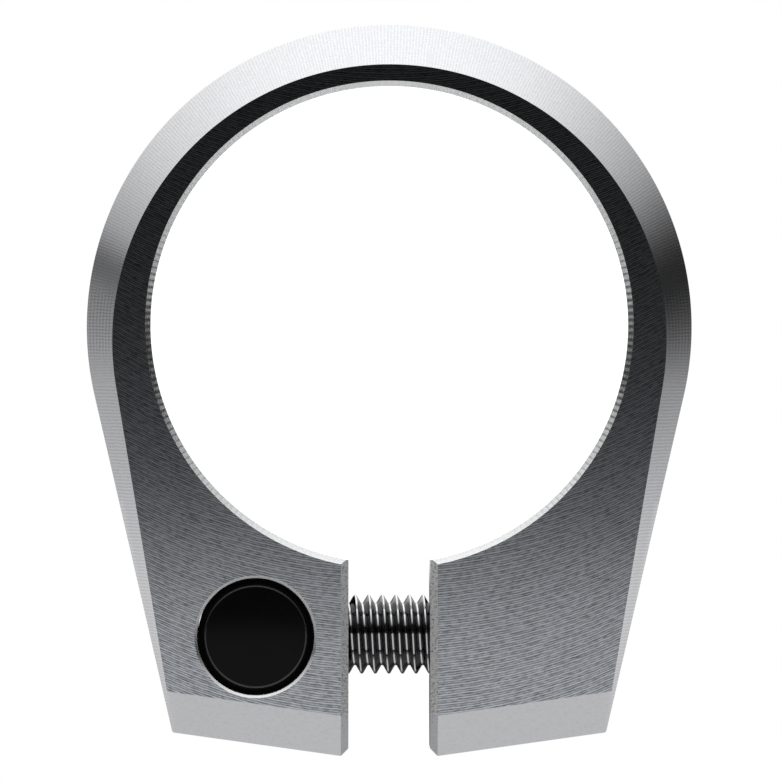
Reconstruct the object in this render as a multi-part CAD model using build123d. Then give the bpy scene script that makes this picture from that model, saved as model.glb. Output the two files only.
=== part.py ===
from build123d import *
from math import cos, pi, radians, sin, tan
import os

# A seat clamp: a slotted aluminium band, a cross bolt, its washer and a barrel nut.
# Millimetres. The origin is the middle of the bore, whose axis is Z. The lugs point to -Y.

# Band
bore_diameter = 35.0
band_height = 17.0
rear_wall = 4.5
side_wall = 4.7
flank_angle = 13.0
lug_end_angle = 8.0
gap_width = 6.0
bolt_to_bore = 5.35
bolt_to_lug_end = 8.9

# Bevel towards both faces, its widths taken in plan from the outer wall
bevel_depth = 2.9
bevel_rear = 2.9
bevel_side = 1.9
bevel_lug_end = 3.0
land_flank_angle = 9.5

# Broken edges of the band
bore_edge = 0.4
gap_edge = 0.55
lug_corner_radius = 0.2
nut_hole_edge = 0.15

# Thread of the bolt, its depth and root flat for each millimetre of pitch
thread_diameter = 5.9
thread_pitch = 1.0
thread_depth_rate = 0.565
thread_root_rate = 0.25
thread_angle = 60.0

# Bolt, lying along X at half the band's height
bolt_length = 22.0
thread_length = 16.0
relief_length = 1.6
relief_step = 0.08
tip_chamfer = 0.7
head_diameter = 10.0
head_height = 6.0
head_edge = 0.5
socket_flats = 5.0
socket_depth = 3.2
socket_edge = 0.2
socket_drill_margin = 0.1
drill_angle = 120.0
drill_chisel = 0.15

# Washer under the head
washer_margin = 0.15
washer_bore_clearance = 0.25
washer_thickness = 1.0
washer_edge = 0.15
washer_gap = 0.1

# Holes for the bolt
seat_to_gap = 5.9
pocket_clearance = 0.3
bolt_hole_clearance = 0.4
tip_room = 2.8

# Barrel nut, standing along Z in the other lug
nut_diameter = 8.5
nut_to_gap = 6.8
nut_edge = 0.55
nut_inset = 0.25
nut_hole_clearance = 0.05
thread_clearance = 0.06
thread_bore_clearance = 0.19

# How far a cutting tool runs past the metal
overrun = 5.0

# Sizes that follow from the ones above
bore_radius = bore_diameter / 2
half_height = band_height / 2
outer_radius = bore_radius + side_wall
outer_centre_y = rear_wall - side_wall
land_radius = outer_radius - bevel_side
land_centre_y = bore_radius + rear_wall - bevel_rear - land_radius
bolt_reach = bore_radius + bolt_to_bore
lug_reach = bolt_reach + bolt_to_lug_end
end_slope = tan(radians(lug_end_angle))
ridge_point_y = -lug_reach - gap_width / 2 * end_slope
land_point_y = ridge_point_y + bevel_lug_end / cos(radians(lug_end_angle))
thread_radius = thread_diameter / 2
root_radius = thread_radius - thread_depth_rate * thread_pitch
flank_slope = tan(radians(thread_angle / 2))
drill_slope = 1 / tan(radians(drill_angle / 2))
relief_radius = root_radius - relief_step
bolt_hole_radius = thread_radius + bolt_hole_clearance
washer_radius = head_diameter / 2 + washer_margin
pocket_radius = washer_radius + pocket_clearance
nut_radius = nut_diameter / 2
nut_hole_radius = nut_radius + nut_hole_clearance
nut_x = -gap_width / 2 - nut_to_gap
seat_x = gap_width / 2 + seat_to_gap
washer_x = seat_x + washer_gap
head_x = washer_x + washer_thickness
tip_x = head_x - bolt_length
nut_place = Pos(nut_x, -bolt_reach, 0)
bolt_axis = Plane((0, -bolt_reach, 0), x_dir=(0, 1, 0), z_dir=(1, 0, 0))
from_base = (Align.CENTER, Align.CENTER, Align.MIN)


def rod(radius, start, end):
    """A round bar on Z between two heights."""
    return Pos(0, 0, start) * Cylinder(radius, end - start, align=from_base)


def countersink(radius, depth, height):
    """A 45 degree tool that breaks a hole's upper rim at a height and runs on past it."""
    reach = depth + overrun
    return Pos(0, 0, height - depth) * Cone(radius, radius + reach, reach, align=from_base)


def through_hole(radius, edge):
    """A hole right through the band, with its rim broken at both faces."""
    rim = countersink(radius, edge, half_height)
    return rod(radius, -band_height, band_height) + rim + mirror(rim, about=Plane.XY)


def drill_point(radius, height):
    """The cone that a drill leaves below a height, blunt where its chisel edge was."""
    depth = (radius - drill_chisel) * drill_slope
    return Pos(0, 0, height) * Rot(180, 0, 0) * Cone(radius, drill_chisel, depth, align=from_base)


def outline(radius, centre_y, lean, point_y):
    """The band in plan: a round back, two leaning flanks and two sloped lug ends."""
    tangent_x = radius * cos(radians(lean))
    tangent_y = centre_y - radius * sin(radians(lean))
    drop = tangent_y - point_y - tangent_x * end_slope
    run = drop / (cos(radians(lean)) - sin(radians(lean)) * end_slope)
    corner_x = tangent_x - run * sin(radians(lean))
    corner_y = tangent_y - run * cos(radians(lean))
    back = CenterArc((0, centre_y), radius, -lean, 180 + 2 * lean)
    sides = Polyline(
        (-tangent_x, tangent_y),
        (-corner_x, corner_y),
        (0, point_y),
        (corner_x, corner_y),
        (tangent_x, tangent_y),
    )
    face = make_face(back + sides)
    return fillet(face.vertices().sort_by(Axis.Y)[1:3], lug_corner_radius)


def blank():
    """The band's outer form: a straight waist with a bevel towards each face."""
    ridge = outline(outer_radius, outer_centre_y, flank_angle, ridge_point_y)
    land = outline(land_radius, land_centre_y, land_flank_angle, land_point_y)
    ridge_height = half_height - bevel_depth
    waist = extrude(ridge, ridge_height, both=True)
    bevel = loft([Pos(0, 0, ridge_height) * ridge, Pos(0, 0, half_height) * land], ruled=True)
    return waist + bevel + mirror(bevel, about=Plane.XY)


def slotted(band):
    """Cuts the gap and breaks all its edges, apart from where it opens into the bore."""
    band -= Pos(0, -lug_reach, 0) * Box(gap_width, 2 * lug_reach, band_height + overrun)
    walls = [wall for wall in band.faces().filter_by(Axis.X) if abs(wall.center().X) < gap_width]
    edges = [edge for wall in walls for edge in wall.edges().sort_by(Axis.Y)[:-1]]
    return chamfer(edges, gap_edge)


def bolt_cuts():
    """The stepped hole for the bolt: head pocket, clearance hole and blind end."""
    blind_end = tip_x - tip_room
    hole = rod(bolt_hole_radius, blind_end, seat_x + overrun)
    pocket = rod(pocket_radius, seat_x, outer_radius + overrun)
    return bolt_axis * (hole + drill_point(bolt_hole_radius, blind_end) + pocket)


def clamp_band():
    bored = blank() - rod(bore_radius, -band_height, band_height)
    band = slotted(bored) - through_hole(bore_radius, bore_edge)
    return band - nut_place * through_hole(nut_hole_radius, nut_hole_edge) - bolt_cuts()


def ridge_width(radius):
    """How wide the bolt's thread ridge is, along the bolt, at a distance from its axis."""
    root_flat = thread_root_rate * thread_pitch
    return thread_pitch - root_flat - 2 * (radius - root_radius) * flank_slope


def thread_tool(near, near_width, far, far_width, start, end):
    """A helical groove round Z between two heights, as wide as given at its two radii."""
    section = Polyline(
        (near, -near_width / 2),
        (far, -far_width / 2),
        (far, far_width / 2),
        (near, near_width / 2),
        close=True,
    )
    path = Helix(thread_pitch, end - start, near)
    return Pos(0, 0, start) * sweep(Plane.XZ * make_face(section), path=path, is_frenet=True)


def turned_for(station):
    """The turn that brings a thread's start at a station in step with the middle of the gap."""
    return Rot(0, 0, 360 * station / thread_pitch)


def key_socket():
    """The hexagon for a key, with its drilled bottom and broken rim."""
    mouth = bolt_length + head_height
    bottom = mouth - socket_depth
    half = socket_flats / 2
    corner_rise = half / cos(pi / 6) - half
    hexagon = extrude(RegularPolygon(half, 6, major_radius=False), socket_depth + overrun)
    rim = countersink(half, socket_edge + corner_rise, mouth)
    return Pos(0, 0, bottom) * hexagon + drill_point(half - socket_drill_margin, bottom) + rim


def clamp_bolt():
    """The bolt standing on its tip, then laid into its place."""
    shank = rod(thread_radius, 0, bolt_length)
    shank = chamfer(shank.edges().sort_by(Axis.Z)[0], tip_chamfer)
    crest = thread_radius + thread_clearance
    shank -= thread_tool(
        root_radius,
        thread_pitch - ridge_width(root_radius),
        crest,
        thread_pitch - ridge_width(crest),
        -thread_pitch,
        thread_length + thread_pitch,
    )
    relief = rod(thread_radius + overrun, thread_length, thread_length + relief_length)
    shank -= relief - rod(relief_radius, 0, bolt_length)
    head = rod(head_diameter / 2, bolt_length, bolt_length + head_height)
    head = chamfer(head.edges().sort_by(Axis.Z)[-1], head_edge)
    return bolt_axis * Pos(0, 0, tip_x) * turned_for(tip_x) * (shank + head - key_socket())


def head_washer():
    ring = rod(washer_radius, washer_x, head_x)
    ring = chamfer(ring.edges().filter_by(GeomType.CIRCLE), washer_edge)
    bore = rod(thread_radius + washer_bore_clearance, washer_x - overrun, head_x + overrun)
    return bolt_axis * (ring - bore)


def barrel_nut():
    body = rod(nut_radius, nut_inset - half_height, half_height - nut_inset)
    body = nut_place * chamfer(body.edges().filter_by(GeomType.CIRCLE), nut_edge)
    bore = root_radius + thread_bore_clearance
    near = bore - thread_clearance
    far = thread_radius + thread_clearance
    reach = nut_radius + thread_pitch
    groove = thread_tool(
        near,
        ridge_width(near) + 2 * thread_clearance,
        far,
        ridge_width(far) + 2 * thread_clearance,
        -reach,
        reach,
    )
    in_bore = bolt_axis * Pos(0, 0, nut_x)
    body -= in_bore * turned_for(nut_x - reach - thread_pitch / 2) * groove
    return body - in_bore * rod(bore, -reach, reach)


def write(name, shape):
    export_step(shape, f"parts/{name}.step")


os.makedirs("parts", exist_ok=True)
write("clamp_band", clamp_band())
write("barrel_nut", barrel_nut())
write("clamp_bolt", clamp_bolt())
write("head_washer", head_washer())
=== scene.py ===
import math

import bmesh
import bpy
from mathutils import Matrix, Vector


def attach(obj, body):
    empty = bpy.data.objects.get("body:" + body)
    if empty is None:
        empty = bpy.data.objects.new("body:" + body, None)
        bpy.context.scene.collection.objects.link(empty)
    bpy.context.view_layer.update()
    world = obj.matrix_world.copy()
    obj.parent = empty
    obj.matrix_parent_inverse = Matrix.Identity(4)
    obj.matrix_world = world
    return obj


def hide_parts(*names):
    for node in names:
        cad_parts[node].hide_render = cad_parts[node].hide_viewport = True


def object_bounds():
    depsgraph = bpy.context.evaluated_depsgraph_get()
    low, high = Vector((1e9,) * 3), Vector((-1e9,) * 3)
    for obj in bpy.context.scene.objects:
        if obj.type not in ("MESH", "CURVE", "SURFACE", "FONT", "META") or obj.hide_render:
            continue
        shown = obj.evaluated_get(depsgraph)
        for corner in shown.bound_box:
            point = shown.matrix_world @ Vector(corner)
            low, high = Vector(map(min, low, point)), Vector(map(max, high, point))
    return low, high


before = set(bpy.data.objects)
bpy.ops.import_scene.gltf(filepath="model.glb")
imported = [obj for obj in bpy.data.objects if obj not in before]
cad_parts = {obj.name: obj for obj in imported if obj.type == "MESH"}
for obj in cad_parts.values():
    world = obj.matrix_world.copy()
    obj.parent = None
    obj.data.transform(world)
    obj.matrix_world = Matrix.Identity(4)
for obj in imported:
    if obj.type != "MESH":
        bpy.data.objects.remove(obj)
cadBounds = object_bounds()
mm = 0.001
print("frame loaded:", ", ".join(sorted(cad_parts)))


# small tools

closeMerge = 1e-7     # points of one mesh that are the same, m
seamMerge = 2e-6      # points on either side of a seam between meshes, m


def newObject(name, mesh):
    made = bpy.data.objects.new(name, mesh)
    bpy.context.scene.collection.objects.link(made)
    return made


def meshFrom(name, points, faces):
    mesh = bpy.data.meshes.new(name)
    mesh.from_pydata(points, [], faces)
    work = bmesh.new()
    work.from_mesh(mesh)
    bmesh.ops.remove_doubles(work, verts=work.verts, dist=closeMerge)
    bmesh.ops.recalc_face_normals(work, faces=work.faces)
    work.to_mesh(mesh)
    work.free()
    return mesh


def stackedMesh(name, rows):
    # rows of points in mm, each a closed loop of the same length, joined in order and capped at both ends
    count = len(rows[0])
    points = [tuple(c * mm for c in point) for row in rows for point in row]
    faces = []
    for r in range(len(rows) - 1):
        for i in range(count):
            j = (i + 1) % count
            faces.append((r * count + i, r * count + j, (r + 1) * count + j, (r + 1) * count + i))
    faces.append(tuple(range(count - 1, -1, -1)))
    faces.append(tuple((len(rows) - 1) * count + i for i in range(count)))
    return meshFrom(name, points, faces)


def turnedRows(profile, segments, place):
    # profile: (radius or a function of the angle, station on the axis)
    rows = []
    for radius, station in profile:
        row = []
        for i in range(segments):
            angle = 2 * math.pi * i / segments
            r = radius(angle) if callable(radius) else radius
            row.append(place(r * math.cos(angle), r * math.sin(angle), station))
        rows.append(row)
    return rows


def solidFrom(obj, name):
    # the object's shape with its modifiers, as a plain mesh
    bpy.context.view_layer.update()
    seen = obj.evaluated_get(bpy.context.evaluated_depsgraph_get())
    mesh = bpy.data.meshes.new_from_object(seen)
    mesh.name = name
    return mesh


def carved(name, blank, cutters):
    body = newObject(name, blank)
    tools = [newObject(f"tool{number}", cutter) for number, cutter in enumerate(cutters)]
    for tool in tools:
        cut = body.modifiers.new("cut", "BOOLEAN")
        cut.operation = "DIFFERENCE"
        cut.solver = "EXACT"
        cut.object = tool
    mesh = solidFrom(body, name)
    body.modifiers.clear()
    body.data = mesh
    for tool in tools:
        bpy.data.objects.remove(tool)
    return body


def shadeByAngle(mesh, degrees):
    mesh.polygons.foreach_set("use_smooth", [True] * len(mesh.polygons))
    mesh.set_sharp_from_angle(angle=math.radians(degrees))


# node helpers

class Board:
    # a node tree with short calls for adding and joining nodes
    def __init__(self, tree):
        self.nodes = tree.nodes
        self.links = tree.links

    def add(self, kind, inputs=None, **settings):
        node = self.nodes.new(kind)
        for key, value in settings.items():
            setattr(node, key, value)
        for key, value in (inputs or {}).items():
            self.feed(node.inputs[key], value)
        return node

    def feed(self, socket, value):
        if isinstance(value, bpy.types.Node):
            value = value.outputs[0]
        if isinstance(value, bpy.types.NodeSocket):
            self.links.new(value, socket)
        else:
            socket.default_value = value

    def math(self, operation, *values):
        node = self.add("ShaderNodeMath", operation=operation)
        for socket, value in zip(node.inputs, values):
            self.feed(socket, value)
        return node.outputs[0]

    def total(self, a, b):
        return self.math("ADD", a, b)

    def minus(self, a, b):
        return self.math("SUBTRACT", a, b)

    def product(self, a, b):
        return self.math("MULTIPLY", a, b)

    def scaled(self, value, strength, offset):
        return self.math("MULTIPLY_ADD", value, strength, offset)

    def clamped(self, value):
        return self.add("ShaderNodeClamp", {"Value": value}).outputs[0]

    def mix(self, share, low, high):
        return self.add("ShaderNodeMix", {"Factor": share, "A": low, "B": high}).outputs[0]

    def ramp(self, value, limits, results=(0.0, 1.0), **settings):
        # from one result to the other while the value goes from one limit to the other
        inputs = {"Value": value, "From Min": limits[0], "From Max": limits[1]}
        inputs.update({"To Min": results[0], "To Max": results[1]})
        return self.add("ShaderNodeMapRange", inputs, **settings).outputs[0]

    def blend(self, share, low, high):
        # a colour between two, by the sockets that a mix node keeps for colours
        node = self.add("ShaderNodeMix", data_type="RGBA")
        sockets = {socket.identifier: socket for socket in node.inputs}
        self.feed(sockets["Factor_Float"], share)
        self.feed(sockets["A_Color"], low)
        self.feed(sockets["B_Color"], high)
        return next(socket for socket in node.outputs if socket.identifier == "Result_Color")

    def curve(self, value, stops):
        # a straight-line curve through (value, result) stops
        node = self.add("ShaderNodeFloatCurve", {"Value": value})
        points = node.mapping.curves[0].points
        while len(points) > 2:
            points.remove(points[0])
        for number, (x, y) in enumerate(stops):
            if number < 2:
                points[number].location = (x, y)
            else:
                points.new(x, y)
        for point in points:
            point.handle_type = "VECTOR"
        node.mapping.use_clip = False
        node.mapping.update()
        return node.outputs[0]

    def noise(self, vector, scale, detail):
        inputs = {"Vector": vector, "Scale": scale, "Detail": detail}
        return self.add("ShaderNodeTexNoise", inputs).outputs["Fac"]

    def place(self):
        return self.add("ShaderNodeTexCoord").outputs["Object"]

    def parts(self, vector):
        return self.add("ShaderNodeSeparateXYZ", {"Vector": vector}).outputs


def newMaterial(name):
    material = bpy.data.materials.new(name)
    material.use_nodes = True
    board = Board(material.node_tree)
    return material, board, board.nodes["Principled BSDF"]


# metal finishes: lengths are in mm, a noise is (scale for each metre, detail),
# and patchStrength, ground and pitShade are (strength, offset) for a noise

aluminiumLook = {
    "colour": (0.80, 0.805, 0.825),
    "grooveShade": 0.10,          # how bright the bottoms are of grooves that are too fine to see singly: painted shade in the colour, also the dark end of mottling and pits
    "curveSpan": 40.0,            # the length in Y, about the bore's axis, over which the curves below run
    "face": {
        "colour": (0.895, 0.93, 1.0), "roughness": 0.285, "depth": 0.0005,
        "cutter": 40.0,           # radius of the face mill, whose marks are arcs stepped along Y
        "feed": 0.1707, "wander": (900.0, 2.0),
        "teeth": 0.74, "teethWobble": 0.6, "pairs": 0.28, "pairsWobble": 0.3,
        "patches": (2600.0, 3.0), "patchStrength": (2.0, -0.1), "grit": (9000.0, 1.0), "gritHeight": 0.45,
        "scratches": (9000.0, 2.0), "scratchStretch": 0.28, "ground": (1.15, -0.17),
        "ridgePower": 1.6, "ridgeShade": 1.6,
    },
    "bevel": {
        "tint": 1.11, "roughness": 0.27, "depth": 0.0013, "wander": (900.0, 2.0),
        "flankStart": -4.3,       # below this Y the marks run level, above it they fan out from fanY
        "flankSpacing": 0.245, "flankWobble": 0.5,
        "fanY": -2.4, "fanMarks": 628, "fanWobble": 0.006, "fanHeight": 0.7,
        "alongSpacing": 0.19, "alongWobble": 0.9, "alongHeight": 0.2,
        "patches": (1500.0, 3.0), "patchStrength": (1.2, 0.2), "grit": (9000.0, 1.0), "gritHeight": 0.3,
        "weave": [(0.0, 0.0), (0.43, 0.0), (0.465, 1.0), (0.545, 1.0), (0.58, 0.0), (1.0, 0.0)],
        "weaveSpacing": 0.36, "weaveWobble": 0.4, "weaveShade": 0.17,
        "grain": (5200.0, 3.0), "ground": (0.30, 0.745), "marksShade": 0.12,
    },
    "endBevel": {
        "tint": 1.12, "roughness": 0.28, "depth": 0.007, "grain": (3600.0, 4.0), "ground": (0.30, 0.84),
    },
    "wall": {
        "roughness": 0.30, "depth": 0.0016, "wander": (700.0, 2.0), "spacing": 0.30, "wobble": 0.6,
        "patches": (1800.0, 3.0), "patchStrength": (1.2, 0.2),
    },
    "bore": {
        "tint": 1.24, "roughness": 0.20, "depth": 0.0009, "wander": (500.0, 2.0), "spacing": 0.16,
        "wobble": 0.4, "grit": (5000.0, 2.0), "gritHeight": 0.5,
    },
    "rim": {
        "tint": 1.24, "roughness": 0.15, "depth": 0.0008, "ticks": 229,
        "grit": (6000.0, 2.0), "gritHeight": 0.25, "gritShade": 0.6, "barShade": 0.9,
        # along Y: how strongly the bars are painted in as painted shade, and how far the colour is darkened
        # in painted shade
        "tickStrength": [(0.0, 0.0), (0.10, 0.03), (0.2, 0.40), (0.3, 0.85), (0.45, 1.15), (0.6, 1.0),
                         (0.68, 0.2), (1.0, 0.05)],
        "shade": [(0.0, 1.0), (0.28, 1.0), (0.40, 0.36), (0.46, 0.24), (0.53, 0.36), (0.62, 0.95),
                  (1.0, 1.0)],
    },
    "brightRim": {"tint": 1.26, "roughness": 0.19, "depth": 0.0002, "grain": (3000.0, 2.0)},
    # the gap's broken edges: the copy facing along Y is darker, and the rougher copy on the face side is
    # far brighter, painted light
    "brokenEdge": {"tint": 0.73, "roughness": 0.42, "depth": 0.014, "pitShade": (3.6, -0.4)},
    "litRaggedEdge": {"tint": 1.6, "roughness": 0.55, "depth": 0.022, "pitShade": (3.6, -0.65)},
    "edgeMarks": {
        "wander": (900.0, 2.0), "spacing": 0.27, "wobble": 0.8, "lineHeight": 0.3,
        "grain": (3600.0, 4.0), "pits": (5200.0, 2.0),
    },
}

steelLook = {
    "black": {
        "tones": ((0.003, 0.003, 0.004, 1), (0.006, 0.006, 0.007, 1)), "blotches": (700.0, 4.0),
        "sheen": (3000.0, 3.0), "sheenSpread": 0.10, "grain": (8000.0, 2.0), "depth": 0.0004,
    },
    "bright": {"sheen": (2500.0, 3.0), "sheenSpread": 0.14, "grain": (4200.0, 3.0), "depth": 0.002},
    "sharpAngle": 32.0,           # edges that turn by more than this are shaded sharp
}


def waves(board, distance, spacing, wander, wobble):
    # -1 to 1 ridges along a distance in metres, their spacing in mm, moved about by a share of it
    shifted = board.total(distance, board.product(wander, wobble * spacing * mm))
    return board.math("SINE", board.product(shifted, 2 * math.pi / (spacing * mm)))


def lengthwise(board, y):
    # 0 towards the lugs to 1 behind the ring, for the curves
    return board.scaled(y, 1 / (aluminiumLook["curveSpan"] * mm), 0.5)


def bumped(board, shader, height, depth):
    bump = board.add("ShaderNodeBump", {"Height": height, "Strength": 1.0, "Distance": depth * mm})
    board.feed(shader.inputs["Normal"], bump)


def finishAluminium(board, shader, look, height, shade=None):
    plain = look.get("colour", aluminiumLook["colour"])
    tinted = [min(1.0, c * look.get("tint", 1.0)) for c in plain]
    colour = (*tinted, 1)
    # a given shade darkens the colour towards the groove colour: painted shade in grooves, and mottling
    if shade is not None:
        dark = (*(c * aluminiumLook["grooveShade"] for c in tinted), 1)
        colour = board.blend(shade, dark, colour)
    board.feed(shader.inputs["Base Color"], colour)
    shader.inputs["Metallic"].default_value = 1.0
    shader.inputs["Roughness"].default_value = look["roughness"]
    bumped(board, shader, height, look["depth"])


def milledFace():
    material, board, shader = newMaterial("milledFace")
    look = aluminiumLook["face"]
    place = board.place()
    at = board.parts(place)
    # the Y at which the mill's arc through this place crosses the middle
    radius = look["cutter"] * mm
    across = board.math("SQRT", board.minus(radius * radius, board.product(at["X"], at["X"])))
    station = board.total(at["Y"], board.minus(across, radius))
    wander = board.noise(place, *look["wander"])
    teeth = waves(board, station, look["feed"], wander, look["teethWobble"])
    pairs = waves(board, station, 2 * look["feed"], wander, look["pairsWobble"])
    lines = board.total(board.product(teeth, look["teeth"]), board.product(pairs, look["pairs"]))
    patches = board.scaled(board.noise(place, *look["patches"]), *look["patchStrength"])
    uneven = board.product(lines, patches)
    height = board.total(uneven, board.product(board.noise(place, *look["grit"]), look["gritHeight"]))
    # scratches that run on along the marks for a few widths of them
    alongMarks = board.product(at["X"], look["scratchStretch"])
    stretched = board.add("ShaderNodeCombineXYZ", {"X": alongMarks, "Y": station, "Z": at["Z"]})
    ground = board.scaled(board.noise(stretched, *look["scratches"]), *look["ground"])
    # thin bright ridges on a darker ground: the ground is painted shade in the grooves between them,
    # mottled by the scratches
    ridges = board.math("POWER", board.clamped(uneven), look["ridgePower"])
    shade = board.clamped(board.scaled(ridges, look["ridgeShade"], ground))
    finishAluminium(board, shader, look, height, shade)
    return material


def milledBevel():
    material, board, shader = newMaterial("milledBevel")
    look = aluminiumLook["bevel"]
    place = board.place()
    at = board.parts(place)
    wander = board.noise(place, *look["wander"])
    level = waves(board, at["Y"], look["flankSpacing"], wander, look["flankWobble"])
    turn = board.math("ARCTAN2", board.minus(at["Y"], look["fanY"] * mm), at["X"])
    turn = board.total(turn, board.product(wander, look["fanWobble"]))
    fan = board.math("SINE", board.product(turn, look["fanMarks"]))
    along = waves(board, at["Z"], look["alongSpacing"], wander, look["alongWobble"])
    ring = board.total(board.product(fan, look["fanHeight"]), board.product(along, look["alongHeight"]))
    onFlank = board.math("LESS_THAN", at["Y"], look["flankStart"] * mm)
    marks = board.mix(onFlank, ring, level)
    patches = board.scaled(board.noise(place, *look["patches"]), *look["patchStrength"])
    uneven = board.product(marks, patches)
    height = board.total(uneven, board.product(board.noise(place, *look["grit"]), look["gritHeight"]))
    # where the two kinds of marks meet they cross, with lines along the ring
    meeting = board.curve(lengthwise(board, at["Y"]), look["weave"])
    weave = waves(board, at["Z"], look["weaveSpacing"], wander, look["weaveWobble"])
    crossed = board.product(board.total(level, weave), meeting)
    # the crossing marks and a mottled grain darken the colour: painted shade in the marks' grooves, and
    # mottling
    ground = board.scaled(board.noise(place, *look["grain"]), *look["ground"])
    ground = board.scaled(crossed, look["weaveShade"], ground)
    shade = board.clamped(board.scaled(uneven, look["marksShade"], ground))
    finishAluminium(board, shader, look, height, shade)
    return material


def smoothEndBevel():
    material, board, shader = newMaterial("endBevel")
    look = aluminiumLook["endBevel"]
    height = board.noise(board.place(), *look["grain"])
    finishAluminium(board, shader, look, height, board.clamped(board.scaled(height, *look["ground"])))
    return material


def sideWall():
    material, board, shader = newMaterial("sideWall")
    look = aluminiumLook["wall"]
    place = board.place()
    wander = board.noise(place, *look["wander"])
    lines = waves(board, board.parts(place)["Z"], look["spacing"], wander, look["wobble"])
    patches = board.scaled(board.noise(place, *look["patches"]), *look["patchStrength"])
    finishAluminium(board, shader, look, board.product(lines, patches))
    return material


def boredWall():
    material, board, shader = newMaterial("boredWall")
    look = aluminiumLook["bore"]
    place = board.place()
    wander = board.noise(place, *look["wander"])
    lines = waves(board, board.parts(place)["Z"], look["spacing"], wander, look["wobble"])
    grit = board.product(board.noise(place, *look["grit"]), look["gritHeight"])
    finishAluminium(board, shader, look, board.total(lines, grit))
    return material


def tickedRim():
    # the bore's rim was cut in short straight steps, which show as bars at the sides; the bars are painted
    # into its colour as painted shade, and the colour is darkened in painted shade over a band of Y at the
    # sides
    material, board, shader = newMaterial("tickedRim")
    look = aluminiumLook["rim"]
    place = board.place()
    at = board.parts(place)
    ticks = board.math("SINE", board.product(board.math("ARCTAN2", at["Y"], at["X"]), look["ticks"]))
    grit = board.noise(place, *look["grit"])
    height = board.total(ticks, board.product(grit, look["gritHeight"]))
    along = lengthwise(board, at["Y"])
    strength = board.curve(along, look["tickStrength"])
    bars = board.product(board.total(ticks, board.product(grit, look["gritShade"])), strength)
    barred = board.scaled(bars, look["barShade"], 1.0)
    shade = board.clamped(board.product(barred, board.curve(along, look["shade"])))
    finishAluminium(board, shader, look, height, shade)
    return material


def brightRim():
    material, board, shader = newMaterial("brightRim")
    look = aluminiumLook["brightRim"]
    finishAluminium(board, shader, look, board.noise(board.place(), *look["grain"]))
    return material


def brokenEdge(name):
    material, board, shader = newMaterial(name)
    look, marks = aluminiumLook[name], aluminiumLook["edgeMarks"]
    place = board.place()
    wander = board.noise(place, *marks["wander"])
    lines = waves(board, board.parts(place)["Y"], marks["spacing"], wander, marks["wobble"])
    height = board.total(board.product(lines, marks["lineHeight"]), board.noise(place, *marks["grain"]))
    shade = board.clamped(board.scaled(board.noise(place, *marks["pits"]), *look["pitShade"]))
    finishAluminium(board, shader, look, height, shade)
    return material


def steelSurface(board, shader, look, roughness):
    place = board.place()
    sheen = board.noise(place, *look["sheen"])
    board.feed(shader.inputs["Roughness"], board.scaled(sheen, look["sheenSpread"], roughness))
    bumped(board, shader, board.noise(place, *look["grain"]), look["depth"])


def blackSteel(name, specular, roughness):
    material, board, shader = newMaterial(name)
    look = steelLook["black"]
    blotches = board.noise(board.place(), *look["blotches"])
    board.feed(shader.inputs["Base Color"], board.blend(blotches, *look["tones"]))
    shader.inputs["Specular IOR Level"].default_value = specular
    steelSurface(board, shader, look, roughness)
    return material


def brightSteel(name, colour, roughness):
    material, board, shader = newMaterial(name)
    shader.inputs["Base Color"].default_value = colour
    shader.inputs["Metallic"].default_value = 1.0
    steelSurface(board, shader, steelLook["bright"], roughness)
    return material


# the camera, looking nearly straight down the bore

cameraView = {
    "place": (-5.0, 11.0, 1508.5), "target": (0.12, -4.84, 8.5), "lens": 942.6, "sensor": 36.0,
    "clip": (0.05, 50.0),         # m
}


def makeCamera():
    data = bpy.data.cameras.new("viewCamera")
    data.sensor_width = cameraView["sensor"]
    data.lens = cameraView["lens"]
    data.clip_start, data.clip_end = cameraView["clip"]
    camera = newObject("viewCamera", data)
    place = Vector(cameraView["place"]) * mm
    target = Vector(cameraView["target"]) * mm
    back = (place - target).normalized()
    right = Vector((0, 1, 0)).cross(back).normalized()
    up = back.cross(right)
    turn = Matrix((right, up, back)).transposed().to_4x4()
    camera.matrix_world = Matrix.Translation(place) @ turn
    bpy.context.scene.camera = camera


# the studio: a white floor, one lamp over the lugs and a tent that is dark to both sides

studio = {
    # brightness from each side: (degrees from +X towards +Y, on the left, on the right)
    "ring": [
        (-90, 0.57, 0.57), (-37, 0.58, 0.56), (-20, 0.50, 0.46), (-13, 0.45, 0.345), (-8, 0.40, 0.245),
        (-3, 0.33, 0.13), (2, 0.27, 0.06), (7, 0.25, 0.015), (11, 0.09, 0.01), (14.5, 0.05, 0.01),
        (18.5, 0.42, 0.05), (25, 0.52, 0.22), (30, 0.62, 0.40), (38, 0.80, 0.58), (49, 0.93, 0.80),
        (62, 1.12, 1.07), (90, 1.21, 1.21),
    ],
    "leftToRight": (-0.3, 0.3),   # the share of X in the direction over which left turns into right
    # share of that brightness by height, 0 at the horizon and 1 overhead
    "tentHeight": [(0.0, 1.0), (0.12, 1.0), (0.30, 0.30), (0.45, 0.0), (1.0, 0.0)],
    "rearHeight": [(0.0, 1.0), (0.30, 0.9), (0.55, 0.6), (0.78, 0.3), (0.86, 0.006), (1.0, 0.006)],
    "tentToRear": (0.3, 0.9),     # the share of Y over which the first turns into the second
    "floorSize": 2.0,             # m, from the middle to each side
    "floorColour": (0.8, 0.8, 0.8, 1),
    "floorRoughness": 0.9,
    # the floor as the metal mirrors it: in the bore, under the band and beyond
    "floorInBore": 1.25,
    "floorUnder": 0.80,
    "boreToUnder": (17.0, 20.0),
    "underToFar": (26.0, 40.0),
    # the strip of floor down in the gap, where it ends to its sides, towards the bore and past the lugs
    "slotShade": 0.10,
    "slotSide": (3.0, 7.0),
    "slotRear": (-19.6, -17.8),
    "slotFront": (-32.0, -38.0),
    "lampPlace": (0.0, -76.7, 68.0),
    "lampSize": (240.0, 116.0),
    "lampPower": 0.0465,
}
atLeast = 1e-6                    # keeps a division from being by nothing


def inMetres(lengths):
    return [length * mm for length in lengths]


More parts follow.
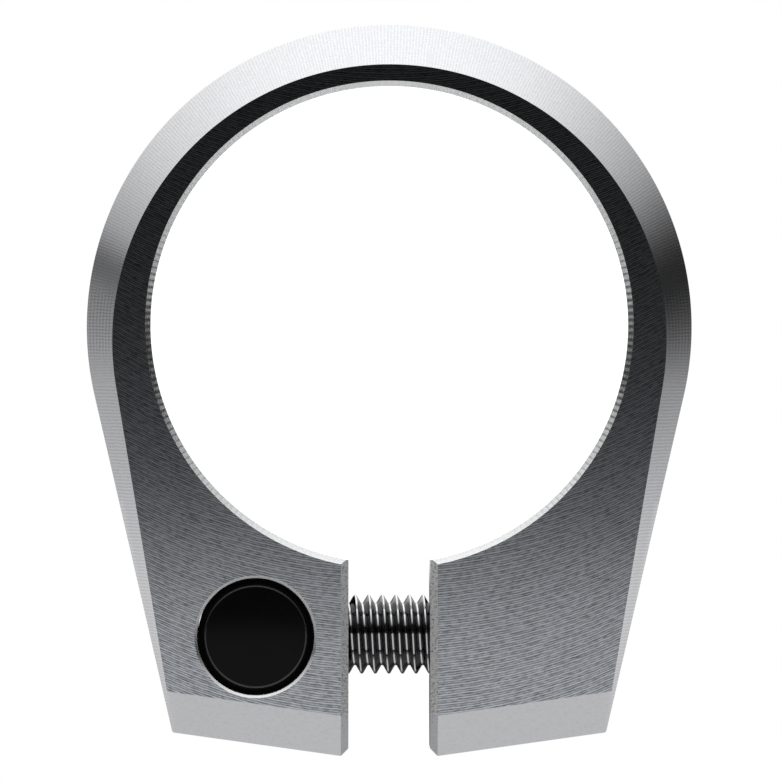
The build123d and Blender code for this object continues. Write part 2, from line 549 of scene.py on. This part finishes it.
def compass(board, x, y):
    # brightness by the side it comes from, and the distance from the axis
    reach = board.math("SQRT", board.total(board.product(x, x), board.product(y, y)))
    reach = board.math("MAXIMUM", reach, atLeast)
    side = board.scaled(board.math("DIVIDE", y, reach), 0.5, 0.5)
    stops = [(0.5 + 0.5 * math.sin(math.radians(degrees)), a, b) for degrees, a, b in studio["ring"]]
    left = board.curve(side, [(place, a) for place, a, b in stops])
    right = board.curve(side, [(place, b) for place, a, b in stops])
    onRight = board.ramp(board.math("DIVIDE", x, reach), studio["leftToRight"])
    return board.mix(onRight, left, right), reach


def makeWorld():
    world = bpy.data.worlds.new("tent")
    bpy.context.scene.world = world
    world.use_nodes = True
    board = Board(world.node_tree)
    way = board.parts(board.add("ShaderNodeTexCoord").outputs["Generated"])
    ring, reach = compass(board, way["X"], way["Y"])
    up = board.math("MAXIMUM", way["Z"], 0.0)
    rear = board.ramp(board.math("DIVIDE", way["Y"], reach), studio["tentToRear"])
    height = board.mix(rear, board.curve(up, studio["tentHeight"]), board.curve(up, studio["rearHeight"]))
    # the camera itself sees plain white
    rays = board.add("ShaderNodeLightPath").outputs
    background = board.nodes["Background"]
    background.inputs["Color"].default_value = (1, 1, 1, 1)
    strength = board.mix(rays["Is Camera Ray"], board.product(ring, height), 1.0)
    board.feed(background.inputs["Strength"], strength)


def makeFloor():
    low, size = cadBounds[0][2], studio["floorSize"]
    mesh = bpy.data.meshes.new("floor")
    corners = [(-size, -size, low), (size, -size, low), (size, size, low), (-size, size, low)]
    mesh.from_pydata(corners, [], [(0, 1, 2, 3)])
    floor = newObject("floor", mesh)
    material, board, shader = newMaterial("paleFloor")
    at = board.parts(board.place())
    ring, reach = compass(board, at["X"], at["Y"])
    away = board.ramp(reach, inMetres(studio["underToFar"]), interpolation_type="SMOOTHSTEP")
    near = (studio["floorInBore"], studio["floorUnder"])
    mirrored = board.mix(away, board.ramp(reach, inMetres(studio["boreToUnder"]), near), ring)
    # the strip of floor down in the gap gets little light
    aside = board.ramp(board.math("ABSOLUTE", at["X"]), inMetres(studio["slotSide"]))
    rear = board.ramp(at["Y"], inMetres(studio["slotRear"]))
    front = board.ramp(at["Y"], inMetres(studio["slotFront"]))
    lit = board.math("MAXIMUM", aside, board.math("MAXIMUM", rear, front))
    slot = board.scaled(lit, 1 - studio["slotShade"], studio["slotShade"])
    # it glows white for the camera and as above in the metal, and is a plain pale floor for all other light
    rays = board.add("ShaderNodeLightPath").outputs
    strength = board.mix(rays["Is Camera Ray"], board.product(mirrored, slot), 1.0)
    glow = board.add("ShaderNodeEmission", {"Strength": strength})
    shader.inputs["Base Color"].default_value = studio["floorColour"]
    shader.inputs["Roughness"].default_value = studio["floorRoughness"]
    shown = board.math("MAXIMUM", rays["Is Glossy Ray"], rays["Is Transmission Ray"])
    shown = board.math("MAXIMUM", rays["Is Camera Ray"], shown)
    surface = board.add("ShaderNodeMixShader", {0: shown, 1: shader, 2: glow})
    board.feed(board.nodes["Material Output"].inputs["Surface"], surface)
    mesh.materials.append(material)


def makeLamp():
    data = bpy.data.lights.new("lugLamp", "AREA")
    data.shape = "RECTANGLE"
    data.size, data.size_y = inMetres(studio["lampSize"])
    data.energy = studio["lampPower"]
    lamp = newObject("lugLamp", data)
    lamp.location = Vector(studio["lampPlace"]) * mm
    lamp.visible_camera = False


bpy.context.scene.view_settings.view_transform = "Standard"
makeCamera()
makeWorld()
makeFloor()
makeLamp()
print("studio made")


# clamp band

band = {
    "boreRadius": 17.5, "halfHeight": 8.5, "ridgeHeight": 5.6,
    # the outlines of the waist and of the faces: their round back, how far the flanks lean in,
    # and the Y at which the slopes of the two lug ends meet
    "ridge": {"radius": 22.2, "centreY": -0.2, "lean": 13.0, "pointY": -32.1716},
    "land": {"radius": 20.3, "centreY": -1.2, "lean": 9.5, "pointY": -29.1421},
    "endSlope": 8.0, "cornerRadius": 0.2,
    "edge": 0.006,                # a fine break round both outlines
    "gapHalf": 3.0, "gapEdge": 0.55, "boreEdge": 0.4,
    "boltY": -22.85, "nutX": -9.8, "nutHoleRadius": 4.3, "nutHoleEdge": 0.19,
    "boltHoleRadius": 3.35, "pocketRadius": 5.45, "seatX": 8.9, "blindX": -14.8,
    "drillTipX": -16.65, "drillTipRadius": 0.15,
    # where the tools end, outside the metal
    "pocketEndX": 26.0, "holePast": 1.0, "gapPast": 2.0,
    "gapFarY": -40.0, "gapNearY": -1.0, "edgeNearY": -2.0,
    # how finely the outline and the holes are divided
    "cornerSteps": 5, "endSteps": 24, "flankSteps": 60, "backSteps": 180, "bevelSteps": (0.33, 0.66),
    "boreSides": 256, "nutHoleSides": 128, "boltHoleSides": 96,
    "sharpAngle": 12.0,
}


def cornerArc(before, corner, after, radius, steps):
    # the points of a small rounding at a corner
    a = (before - corner).normalized()
    b = (after - corner).normalized()
    half = a.angle(b) / 2
    centre = corner + (a + b).normalized() * (radius / math.sin(half))
    start = corner + a * (radius / math.tan(half)) - centre
    end = corner + b * (radius / math.tan(half)) - centre
    turn = start.angle_signed(end)
    return [centre + Matrix.Rotation(-turn * k / steps, 2) @ start for k in range(steps + 1)]


def between(start, end, steps):
    return [start.lerp(end, k / steps) for k in range(1, steps)]


def bandOutline(form):
    # the band in plan, from the middle of the lug ends round to the right
    lean = math.radians(form["lean"])
    slope = math.tan(math.radians(band["endSlope"]))
    radius, centreY = form["radius"], form["centreY"]
    tangent = Vector((radius * math.cos(lean), centreY - radius * math.sin(lean)))
    drop = tangent.y - form["pointY"] - tangent.x * slope
    run = drop / (math.cos(lean) - math.sin(lean) * slope)
    corner = tangent - run * Vector((math.sin(lean), math.cos(lean)))
    point = Vector((0.0, form["pointY"]))
    rounding = cornerArc(point, corner, tangent, band["cornerRadius"], band["cornerSteps"])
    lugEnd = between(point, rounding[0], band["endSteps"])
    right = lugEnd + rounding + between(rounding[-1], tangent, band["flankSteps"])
    back = []
    for k in range(band["backSteps"] + 1):
        angle = -lean + (math.pi + 2 * lean) * k / band["backSteps"]
        back.append(Vector((radius * math.cos(angle), centreY + radius * math.sin(angle))))
    left = [Vector((-p.x, p.y)) for p in reversed(right)]
    return [point] + right + back + left


def insetLoop(loop, amount):
    made = []
    for k, p in enumerate(loop):
        along = (loop[(k + 1) % len(loop)] - loop[k - 1]).normalized()
        made.append(p + amount * Vector((-along.y, along.x)))
    return made


def bandBlank():
    ridge = bandOutline(band["ridge"])
    land = bandOutline(band["land"])
    half, ridgeHeight, edge = band["halfHeight"], band["ridgeHeight"], band["edge"]
    slant = math.hypot(half - ridgeHeight, band["ridge"]["radius"] - band["land"]["radius"])
    step = edge / slant
    upper = [(half, insetLoop(land, edge))]
    for share in (step, *band["bevelSteps"], 1 - step):
        upper.append((half + (ridgeHeight - half) * share, [a.lerp(b, share) for a, b in zip(land, ridge)]))
    upper.append((ridgeHeight - edge, ridge))
    rows = [[(p.x, p.y, z) for p in loop] for z, loop in upper]
    mirrored = [[(x, y, -z) for x, y, z in row] for row in reversed(rows)]
    return stackedMesh("bandBlank", rows + mirrored)


def uprightTool(name, profile, centre, segments):
    x, y = centre
    return stackedMesh(name, turnedRows(profile, segments, lambda a, b, h: (x + a, y + b, h)))


def alongBolt(a, b, h):
    return (h, band["boltY"] + a, b)


def holeProfile(radius, edge):
    # a hole right through, flared where its rims are broken
    half, past = band["halfHeight"], band["holePast"]
    upper = [(radius, half - edge), (radius + edge + past, half + past)]
    return [(r, -z) for r, z in reversed(upper)] + upper


def offsetPolygon(loop, amount):
    # each side moved inwards by the amount, the corners where the moved sides meet
    nexts = loop[1:] + loop[:1]
    area = sum(p.x * q.y - q.x * p.y for p, q in zip(loop, nexts))
    turn = 1 if area > 0 else -1
    made = []
    for k, (p, q) in enumerate(zip(loop, nexts)):
        a = (p - loop[k - 1]).normalized()
        b = (q - p).normalized()
        na, nb = turn * Vector((-a.y, a.x)), turn * Vector((-b.y, b.x))
        middle = (na + nb).normalized()
        made.append(p + middle * (amount / middle.dot(na)))
    return made


def slab(name, lowX, highX, nearY):
    # a block through both faces, from inside the bore out past the lugs
    farY, top = band["gapFarY"], band["halfHeight"] + band["gapPast"]
    corners = [(lowX, farY), (highX, farY), (highX, nearY), (lowX, nearY)]
    return stackedMesh(name, [[(x, y, z) for x, y in corners] for z in (-top, top)])


def gapTools():
    # the slot, and what breaks its edges on each side
    half, ridgeHeight, edge = band["halfHeight"], band["ridgeHeight"], band["gapEdge"]
    near, far, past = band["gapHalf"], band["gapHalf"] + edge, band["gapPast"]
    slope = math.tan(math.radians(band["endSlope"]))
    endY = band["ridge"]["pointY"] + far * slope
    landY = band["land"]["pointY"] + far * slope
    upper = [(endY, ridgeHeight), (landY, half), (band["gapNearY"], half)]
    section = [Vector((y, -z)) for y, z in reversed(upper)] + [Vector(p) for p in upper]
    ends = ((near - edge, offsetPolygon(section, 2 * edge)), (far + past, offsetPolygon(section, -past)))
    tools = [slab("slot", -near, near, band["gapNearY"])]
    for side in (1, -1):
        kept = stackedMesh("kept", [[(side * x, p.x, p.y) for p in loop] for x, loop in ends])
        lowX, highX = sorted((side * (near - edge / 2), side * far))
        shaped = carved("edgeTool", slab("block", lowX, highX, band["edgeNearY"]), [kept])
        tools.append(shaped.data.copy())
        bpy.data.objects.remove(shaped)
    return tools


bandFinishes = {
    "face": milledFace(), "bevel": milledBevel(), "end": smoothEndBevel(), "wall": sideWall(),
    "bore": boredWall(), "rim": tickedRim(), "edge": brokenEdge("brokenEdge"), "bright": brightRim(),
    "litRagged": brokenEdge("litRaggedEdge"),
}

bandSorting = {
    # how far a face's middle may be from where it belongs, mm
    "slack": 0.01, "faceSlack": 0.02,
    # the bolt's hole lies within this X and this far from the bolt in Y, the lug ends beyond this Y
    "holeX": 16.5, "holeY": 5.5, "lugY": -20.0,
    # share of the normal along Z: least in a face, most by the nut's hole, in a bore and on a wall
    "level": 0.999, "steep": 0.9, "upright": 0.1, "wall": 0.05,
    # share of the normal along X: least in a flat across the bolt and on the gap's edges, and along Y there
    "acrossBolt": 0.99, "gapEdgeX": 0.5, "gapEdgeY": 0.2,
}


def bandSlot(centre, normal):
    # which finish a face of the band takes, by where it is and which way it looks
    x, y, z = (c / mm for c in centre)
    rules, slack = bandSorting, bandSorting["slack"]
    climb = abs(normal.z)
    fromBolt = math.hypot(y - band["boltY"], z)
    fromNut = math.hypot(x - band["nutX"], y - band["boltY"])
    onGapWall = abs(abs(x) - band["gapHalf"]) <= slack
    if fromNut < band["nutHoleRadius"] + band["nutHoleEdge"] and climb < rules["steep"]:
        return "bore" if climb < rules["upright"] else "bright"
    byHole = abs(x) < rules["holeX"] and abs(y - band["boltY"]) < rules["holeY"]
    byHole = byHole and abs(z) < band["ridgeHeight"]
    if byHole and fromBolt < band["pocketRadius"] + slack and not onGapWall:
        looksIn = Vector((0, band["boltY"] - y, -z)).dot(normal) > 0
        if looksIn or abs(normal.x) > rules["acrossBolt"]:
            return "bore"
    if climb > rules["level"] and abs(z) > band["halfHeight"] - rules["faceSlack"]:
        return "face"
    byBore = math.hypot(x, y) < band["boreRadius"] + band["boreEdge"] + slack
    if byBore and x * normal.x + y * normal.y < 0:
        return "bore" if climb < rules["upright"] else "rim"
    if onGapWall:
        return "wall"
    # the gap's edges: facing along Y the darker copy, otherwise the rougher and far brighter copy, painted
    # light
    if abs(x) < band["gapHalf"] + band["gapEdge"] and abs(normal.x) > rules["gapEdgeX"]:
        return "edge" if abs(normal.y) > rules["gapEdgeY"] else "litRagged"
    if climb < rules["wall"]:
        return "wall"
    return "end" if abs(normal.y) > abs(normal.x) and y < rules["lugY"] else "bevel"


def makeBand():
    nutProfile = holeProfile(band["nutHoleRadius"], band["nutHoleEdge"])
    nutHole = uprightTool("nutHole", nutProfile, (band["nutX"], band["boltY"]), band["nutHoleSides"])
    boreProfile = holeProfile(band["boreRadius"], band["boreEdge"])
    bore = uprightTool("bore", boreProfile, (0, 0), band["boreSides"])
    boltProfile = [
        (band["drillTipRadius"], band["drillTipX"]), (band["boltHoleRadius"], band["blindX"]),
        (band["boltHoleRadius"], band["seatX"]), (band["pocketRadius"], band["seatX"]),
        (band["pocketRadius"], band["pocketEndX"]),
    ]
    boltHole = stackedMesh("boltHole", turnedRows(boltProfile, band["boltHoleSides"], alongBolt))
    body = carved("clampBand", bandBlank(), [bore, nutHole, boltHole] + gapTools())
    mesh = body.data
    mesh.materials.clear()
    for finish in bandFinishes.values():
        mesh.materials.append(finish)
    slots = list(bandFinishes)
    for polygon in mesh.polygons:
        polygon.material_index = slots.index(bandSlot(polygon.center, polygon.normal))
    shadeByAngle(mesh, band["sharpAngle"])
    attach(body, "band")
    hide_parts("clamp_band")
    print("band made:", len(mesh.polygons), "faces")


makeBand()


# threads

threadForm = {
    # along one pitch: (share of the pitch from the middle of the root, share of the depth)
    "bolt": [
        (0.0, 0.0), (0.03, 0.0), (0.055, 0.0), (0.085, 0.04), (0.125, 0.154), (0.27, 0.563), (0.39, 0.90),
        (0.45, 1.0), (0.475, 1.0), (0.5, 1.0), (0.525, 1.0), (0.55, 1.0), (0.61, 0.90), (0.73, 0.563),
        (0.875, 0.154), (0.915, 0.04), (0.945, 0.0), (0.97, 0.0),
    ],
    "nut": [
        (0.0, 0.0), (0.09, 0.0), (0.17, 0.0), (0.24, 0.26), (0.33, 0.61), (0.425, 0.98), (0.45, 1.0),
        (0.475, 1.0), (0.5, 1.0), (0.525, 1.0), (0.55, 1.0), (0.575, 0.98), (0.67, 0.61), (0.76, 0.26),
        (0.83, 0.0), (0.91, 0.0),
    ],
    "pitch": 1.0,
    "around": 144,
}
threadInputs = {
    "NodeSocketFloat": ("Start", "End", "Pitch", "Crest Radius", "Root Radius", "Start Radius",
                        "End Radius", "Lead", "Axis Y", "First"),
    "NodeSocketInt": ("Pitches", "Around", "Rows"),
    "NodeSocketMaterial": ("Material",),
}


def threadTree(form):
    # a grid wound round the X axis, whose rows follow the helix and end in a circle at either end
    tree = bpy.data.node_groups.new(form + "Thread", "GeometryNodeTree")
    face = tree.interface
    face.new_socket("Geometry", in_out="OUTPUT", socket_type="NodeSocketGeometry")
    for kind, names in threadInputs.items():
        for name in names:
            face.new_socket(name, in_out="INPUT", socket_type=kind)
    board = Board(tree)
    given = board.add("NodeGroupInput").outputs
    rowCount = board.total(board.product(given["Pitches"], given["Rows"]), 1.0)
    roundCount = board.total(given["Around"], 1.0)
    gridSize = {"Size X": 1.0, "Size Y": 1.0, "Vertices X": rowCount, "Vertices Y": roundCount}
    grid = board.add("GeometryNodeMeshGrid", gridSize)
    # how far round each point is, its row, and that row as whole pitches and a share of one
    at = board.parts(board.add("GeometryNodeInputPosition"))
    along = board.product(board.total(at["X"], 0.5), given["Pitches"])
    turn = board.total(at["Y"], 0.5)
    row = board.math("ROUND", board.product(along, given["Rows"]))
    whole = board.math("FLOOR", board.math("DIVIDE", board.total(row, 0.5), given["Rows"]))
    share = board.math("DIVIDE", board.minus(row, board.product(whole, given["Rows"])), given["Rows"])
    # the profile at that share
    profile = threadForm[form]
    steps = [(k / len(profile), p) for k, p in enumerate(profile)]
    where = board.curve(share, [(k, p[0]) for k, p in steps] + [(1.0, 1.0)])
    high = board.curve(share, [(k, p[1]) for k, p in steps] + [(1.0, 0.0)])
    turns = board.total(board.total(whole, where), turn)
    raw = board.total(given["First"], board.product(turns, given["Pitch"]))
    station = board.math("MINIMUM", board.math("MAXIMUM", raw, given["Start"]), given["End"])
    depth = board.minus(given["Crest Radius"], given["Root Radius"])
    plain = board.total(given["Root Radius"], board.product(high, depth))
    rise = board.product(board.minus(station, given["Start"]), given["Lead"])
    radius = board.math("MINIMUM", plain, board.total(given["Start Radius"], rise))
    past = board.math("GREATER_THAN", raw, given["End"])
    radius = board.mix(past, radius, given["End Radius"])
    angle = board.product(turn, 2 * math.pi)
    y = board.total(given["Axis Y"], board.product(radius, board.math("COSINE", angle)))
    z = board.product(radius, board.math("SINE", angle))
    place = board.add("ShaderNodeCombineXYZ", {"X": station, "Y": y, "Z": z})
    moved = board.add("GeometryNodeSetPosition", {"Geometry": grid.outputs["Mesh"], "Position": place})
    closed = board.add("GeometryNodeMergeByDistance", {"Geometry": moved, "Distance": seamMerge})
    finish = board.add("GeometryNodeSetMaterial", {"Geometry": closed, "Material": given["Material"]})
    board.feed(board.add("NodeGroupOutput").inputs[0], finish)
    return tree


def threadValues(lengths, lead, around):
    # lengths in mm by their inputs' names, and how much the radius may grow with each length from the start
    pitch = threadForm["pitch"]
    first = math.floor(lengths["Start"] / pitch) * pitch - pitch
    pitches = math.ceil((lengths["End"] - first) / pitch) + 1
    values = {name: length * mm for name, length in lengths.items()}
    values.update({"Pitch": pitch * mm, "Axis Y": band["boltY"] * mm, "First": first * mm})
    values.update({"Lead": lead, "Pitches": pitches, "Around": around})
    return values


def woundThread(name, form, values, material):
    base = newObject(name, bpy.data.meshes.new(name))
    wind = base.modifiers.new("wind", "NODES")
    wind.node_group = threadTree(form)
    values = {**values, "Rows": len(threadForm[form]), "Material": material}
    for item in wind.node_group.interface.items_tree:
        if item.in_out == "INPUT":
            wind[item.identifier] = values[item.name]
    mesh = solidFrom(base, name)
    bpy.data.objects.remove(base)
    return mesh


def joinedMesh(name, meshes):
    work = bmesh.new()
    for mesh in meshes:
        work.from_mesh(mesh)
    bmesh.ops.remove_doubles(work, verts=work.verts, dist=seamMerge)
    bmesh.ops.recalc_face_normals(work, faces=work.faces)
    mesh = bpy.data.meshes.new(name)
    work.to_mesh(mesh)
    work.free()
    return mesh


def openRows(name, rows):
    # rows joined in order, with both ends left open
    mesh = stackedMesh(name, rows)
    work = bmesh.new()
    work.from_mesh(mesh)
    ends = [f for f in work.faces if len(f.verts) > 4]
    bmesh.ops.delete(work, geom=ends, context="FACES_ONLY")
    work.to_mesh(mesh)
    work.free()
    return mesh


def closeHoles(mesh):
    work = bmesh.new()
    work.from_mesh(mesh)
    loose = [e for e in work.edges if e.is_boundary]
    if loose:
        bmesh.ops.holes_fill(work, edges=loose, sides=0)
    bmesh.ops.recalc_face_normals(work, faces=work.faces)
    work.to_mesh(mesh)
    work.free()


# bolt

bolt = {
    "tipX": -12.0, "threadEnd": 4.0, "reliefEnd": 5.6, "headX": 10.0, "endX": 16.0,
    "shankRadius": 2.95, "crestRadius": 2.905, "rootRadius": 2.29, "reliefRadius": 2.305, "tipRadius": 2.25,
    "tipLead": 1.0,               # 45 degrees
    "reliefRamp": 0.2, "shankStep": (0.3, 0.25), "fillet": 0.15,
    "headRadius": 5.0, "knurlDepth": 0.08, "knurlStart": 0.4, "knurlEnd": 0.65,
    # (in from the head's radius, along from its end) down to the seat and up to the mouth
    "seatRound": [(0.25, 0.0), (0.06, 0.08), (0.0, 0.25)],
    "mouthRound": [(0.0, 0.5), (0.12, 0.275), (0.3, 0.1), (0.6, 0.0)],
    "socketHalf": 2.5, "socketDepth": 3.2, "socketRim": 0.25, "socketLip": 0.18,
    "drillRadius": 2.4, "drillDepth": 1.3, "drillTipRadius": 0.12,
    # the thread's flanks take a darker copy of the steel, painted shade for the dark that they mirror
    "steel": ((0.80, 0.80, 0.81, 1), 0.05), "shadedFlankSteel": ((0.21, 0.21, 0.215, 1), 0.06),
    "flankInset": 0.006,          # how far inside root and crest a face counts as flank
}


def hexRadius(angle):
    sixth = math.pi / 3
    return bolt["socketHalf"] / math.cos((angle + sixth / 2) % sixth - sixth / 2)


def knurl(angle):
    groove = round(angle / (2 * math.pi) * threadForm["around"]) % 2
    return bolt["headRadius"] - bolt["knurlDepth"] * groove


def boltProfile():
    # from the end of the thread along the shank, over the head and down into its socket
    relief, shank, outer = bolt["reliefRadius"], bolt["shankRadius"], bolt["headRadius"]
    head, end, fillet = bolt["headX"], bolt["endX"], bolt["fillet"]
    down, on = bolt["shankStep"]
    bottom = end - bolt["socketDepth"]
    profile = [(relief, bolt["threadEnd"]), (relief, bolt["reliefEnd"] - bolt["reliefRamp"])]
    profile += [(shank - down, bolt["reliefEnd"]), (shank, bolt["reliefEnd"] + on)]
    profile += [(shank, head - fillet), (shank + fillet, head)]
    profile += [(outer - inset, head + rise) for inset, rise in bolt["seatRound"]]
    profile += [(knurl, head + bolt["knurlStart"]), (knurl, end - bolt["knurlEnd"])]
    profile += [(outer - inset, end - drop) for inset, drop in bolt["mouthRound"]]
    profile += [(bolt["socketHalf"] / math.cos(math.pi / 6) + bolt["socketLip"], end)]
    profile += [(hexRadius, end - bolt["socketRim"]), (hexRadius, bottom)]
    profile += [(bolt["drillRadius"], bottom), (bolt["drillTipRadius"], bottom - bolt["drillDepth"])]
    return profile


def makeBolt():
    around = threadForm["around"]
    material = brightSteel("polishedSteel", *bolt["steel"])
    flank = brightSteel("shadedThreadFlank", *bolt["shadedFlankSteel"])
    lengths = {
        "Start": bolt["tipX"], "End": bolt["threadEnd"],
        "Crest Radius": bolt["crestRadius"], "Root Radius": bolt["rootRadius"],
        "Start Radius": bolt["tipRadius"], "End Radius": bolt["reliefRadius"],
    }
    thread = woundThread("boltThread", "bolt", threadValues(lengths, bolt["tipLead"], around), material)
    rest = openRows("boltRest", turnedRows(boltProfile(), around, alongBolt))
    rim = turnedRows([(bolt["tipRadius"], bolt["tipX"])], around, alongBolt)[0]
    tip = meshFrom("boltTip", [inMetres(point) for point in rim], [tuple(range(around))])
    mesh = joinedMesh("clampBolt", [thread, rest, tip])
    mesh.materials.append(material)
    mesh.materials.append(flank)
    closeHoles(mesh)
    # faces on the thread's flanks take the darker steel copy, painted shade
    low, high = bolt["rootRadius"] + bolt["flankInset"], bolt["crestRadius"] - bolt["flankInset"]
    for polygon in mesh.polygons:
        x, y, z = (c / mm for c in polygon.center)
        onFlank = x < bolt["threadEnd"] and low < math.hypot(y - band["boltY"], z) < high
        polygon.material_index = int(onFlank)
    body = newObject("clampBolt", mesh)
    shadeByAngle(mesh, steelLook["sharpAngle"])
    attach(body, "bolt")
    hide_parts("clamp_bolt")
    print("bolt made:", len(mesh.polygons), "faces")


makeBolt()


# washer

washer = {
    "startX": 9.0, "endX": 9.99, "sides": 96,
    # (radius, distance from either end)
    "section": [(3.2, 0.1), (3.3, 0.0), (5.0, 0.0), (5.11, 0.05), (5.15, 0.15)],
    "steel": ((0.62, 0.61, 0.60, 1), 0.24),
}


def makeWasher():
    section = washer["section"]
    profile = [(radius, washer["startX"] + rise) for radius, rise in section]
    profile += [(radius, washer["endX"] - rise) for radius, rise in reversed(section)]
    rows = openRows("headWasher", turnedRows(profile + profile[:1], washer["sides"], alongBolt))
    mesh = joinedMesh("headWasher", [rows])
    mesh.materials.append(brightSteel("plainSteel", *washer["steel"]))
    body = newObject("headWasher", mesh)
    shadeByAngle(mesh, steelLook["sharpAngle"])
    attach(body, "washer")
    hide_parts("head_washer")
    print("washer made")


makeWasher()


# barrel nut

nut = {
    "radius": 4.25, "topZ": 8.25, "edge": 0.55, "boreRadius": 2.575, "farRadius": 3.01,
    # (in from the radius, down from the top) round both edges of the chamfer
    "corner": [(0.61, 0.0), (0.544, 0.03), (0.49, 0.084), (0.048, 0.502), (0.006, 0.55), (0.0, 0.61)],
    "sides": 144, "threadSides": 72, "threadPast": 1.0,
    "threadLead": 10.0,           # steep enough to leave the groove whole
    "steel": (0.13, 0.22), "edgeHighlightSteel": (1.0, 0.10),
    "edgeHighlightReach": 0.144,           # how near to an edge of the chamfer a face takes the more reflective copy, for painted highlights
}


def makeNut():
    radius, top, edge = nut["radius"], nut["topZ"], nut["edge"]
    corner = [(radius - inset, top - drop) for inset, drop in nut["corner"]]
    profile = [(r, -z) for r, z in corner] + corner[::-1]
    blank = uprightTool("nutBlank", profile, (band["nutX"], band["boltY"]), nut["sides"])
    reach = radius + nut["threadPast"]
    lengths = {
        "Start": band["nutX"] - reach, "End": band["nutX"] + reach,
        "Crest Radius": nut["farRadius"], "Root Radius": nut["boreRadius"],
        "Start Radius": nut["boreRadius"], "End Radius": nut["boreRadius"],
    }
    values = threadValues(lengths, nut["threadLead"], nut["threadSides"])
    # its ridges stand in the bolt's grooves
    values["First"] += threadForm["pitch"] / 2 * mm
    material = blackSteel("blackSteel", *nut["steel"])
    edgeHighlight = blackSteel("edgeHighlightBlack", *nut["edgeHighlightSteel"])
    groove = woundThread("nutThread", "nut", values, material)
    closeHoles(groove)
    body = carved("barrelNut", blank, [groove])
    mesh = body.data
    mesh.materials.clear()
    mesh.materials.append(material)
    mesh.materials.append(edgeHighlight)
    # the chamfer's edges take a far more reflective and smoother copy of the black steel, for painted
    # highlight arcs
    rims = [(radius - edge, top), (radius, top - edge)]
    for polygon in mesh.polygons:
        x, y, z = (c / mm for c in polygon.center)
        fromAxis = math.hypot(x - band["nutX"], y - band["boltY"])
        onRim = any(abs(fromAxis - r) + abs(abs(z) - h) < nut["edgeHighlightReach"] for r, h in rims)
        polygon.material_index = int(onRim)
    shadeByAngle(mesh, steelLook["sharpAngle"])
    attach(body, "nut")
    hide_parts("barrel_nut")
    print("nut made:", len(body.data.polygons), "faces")


makeNut()
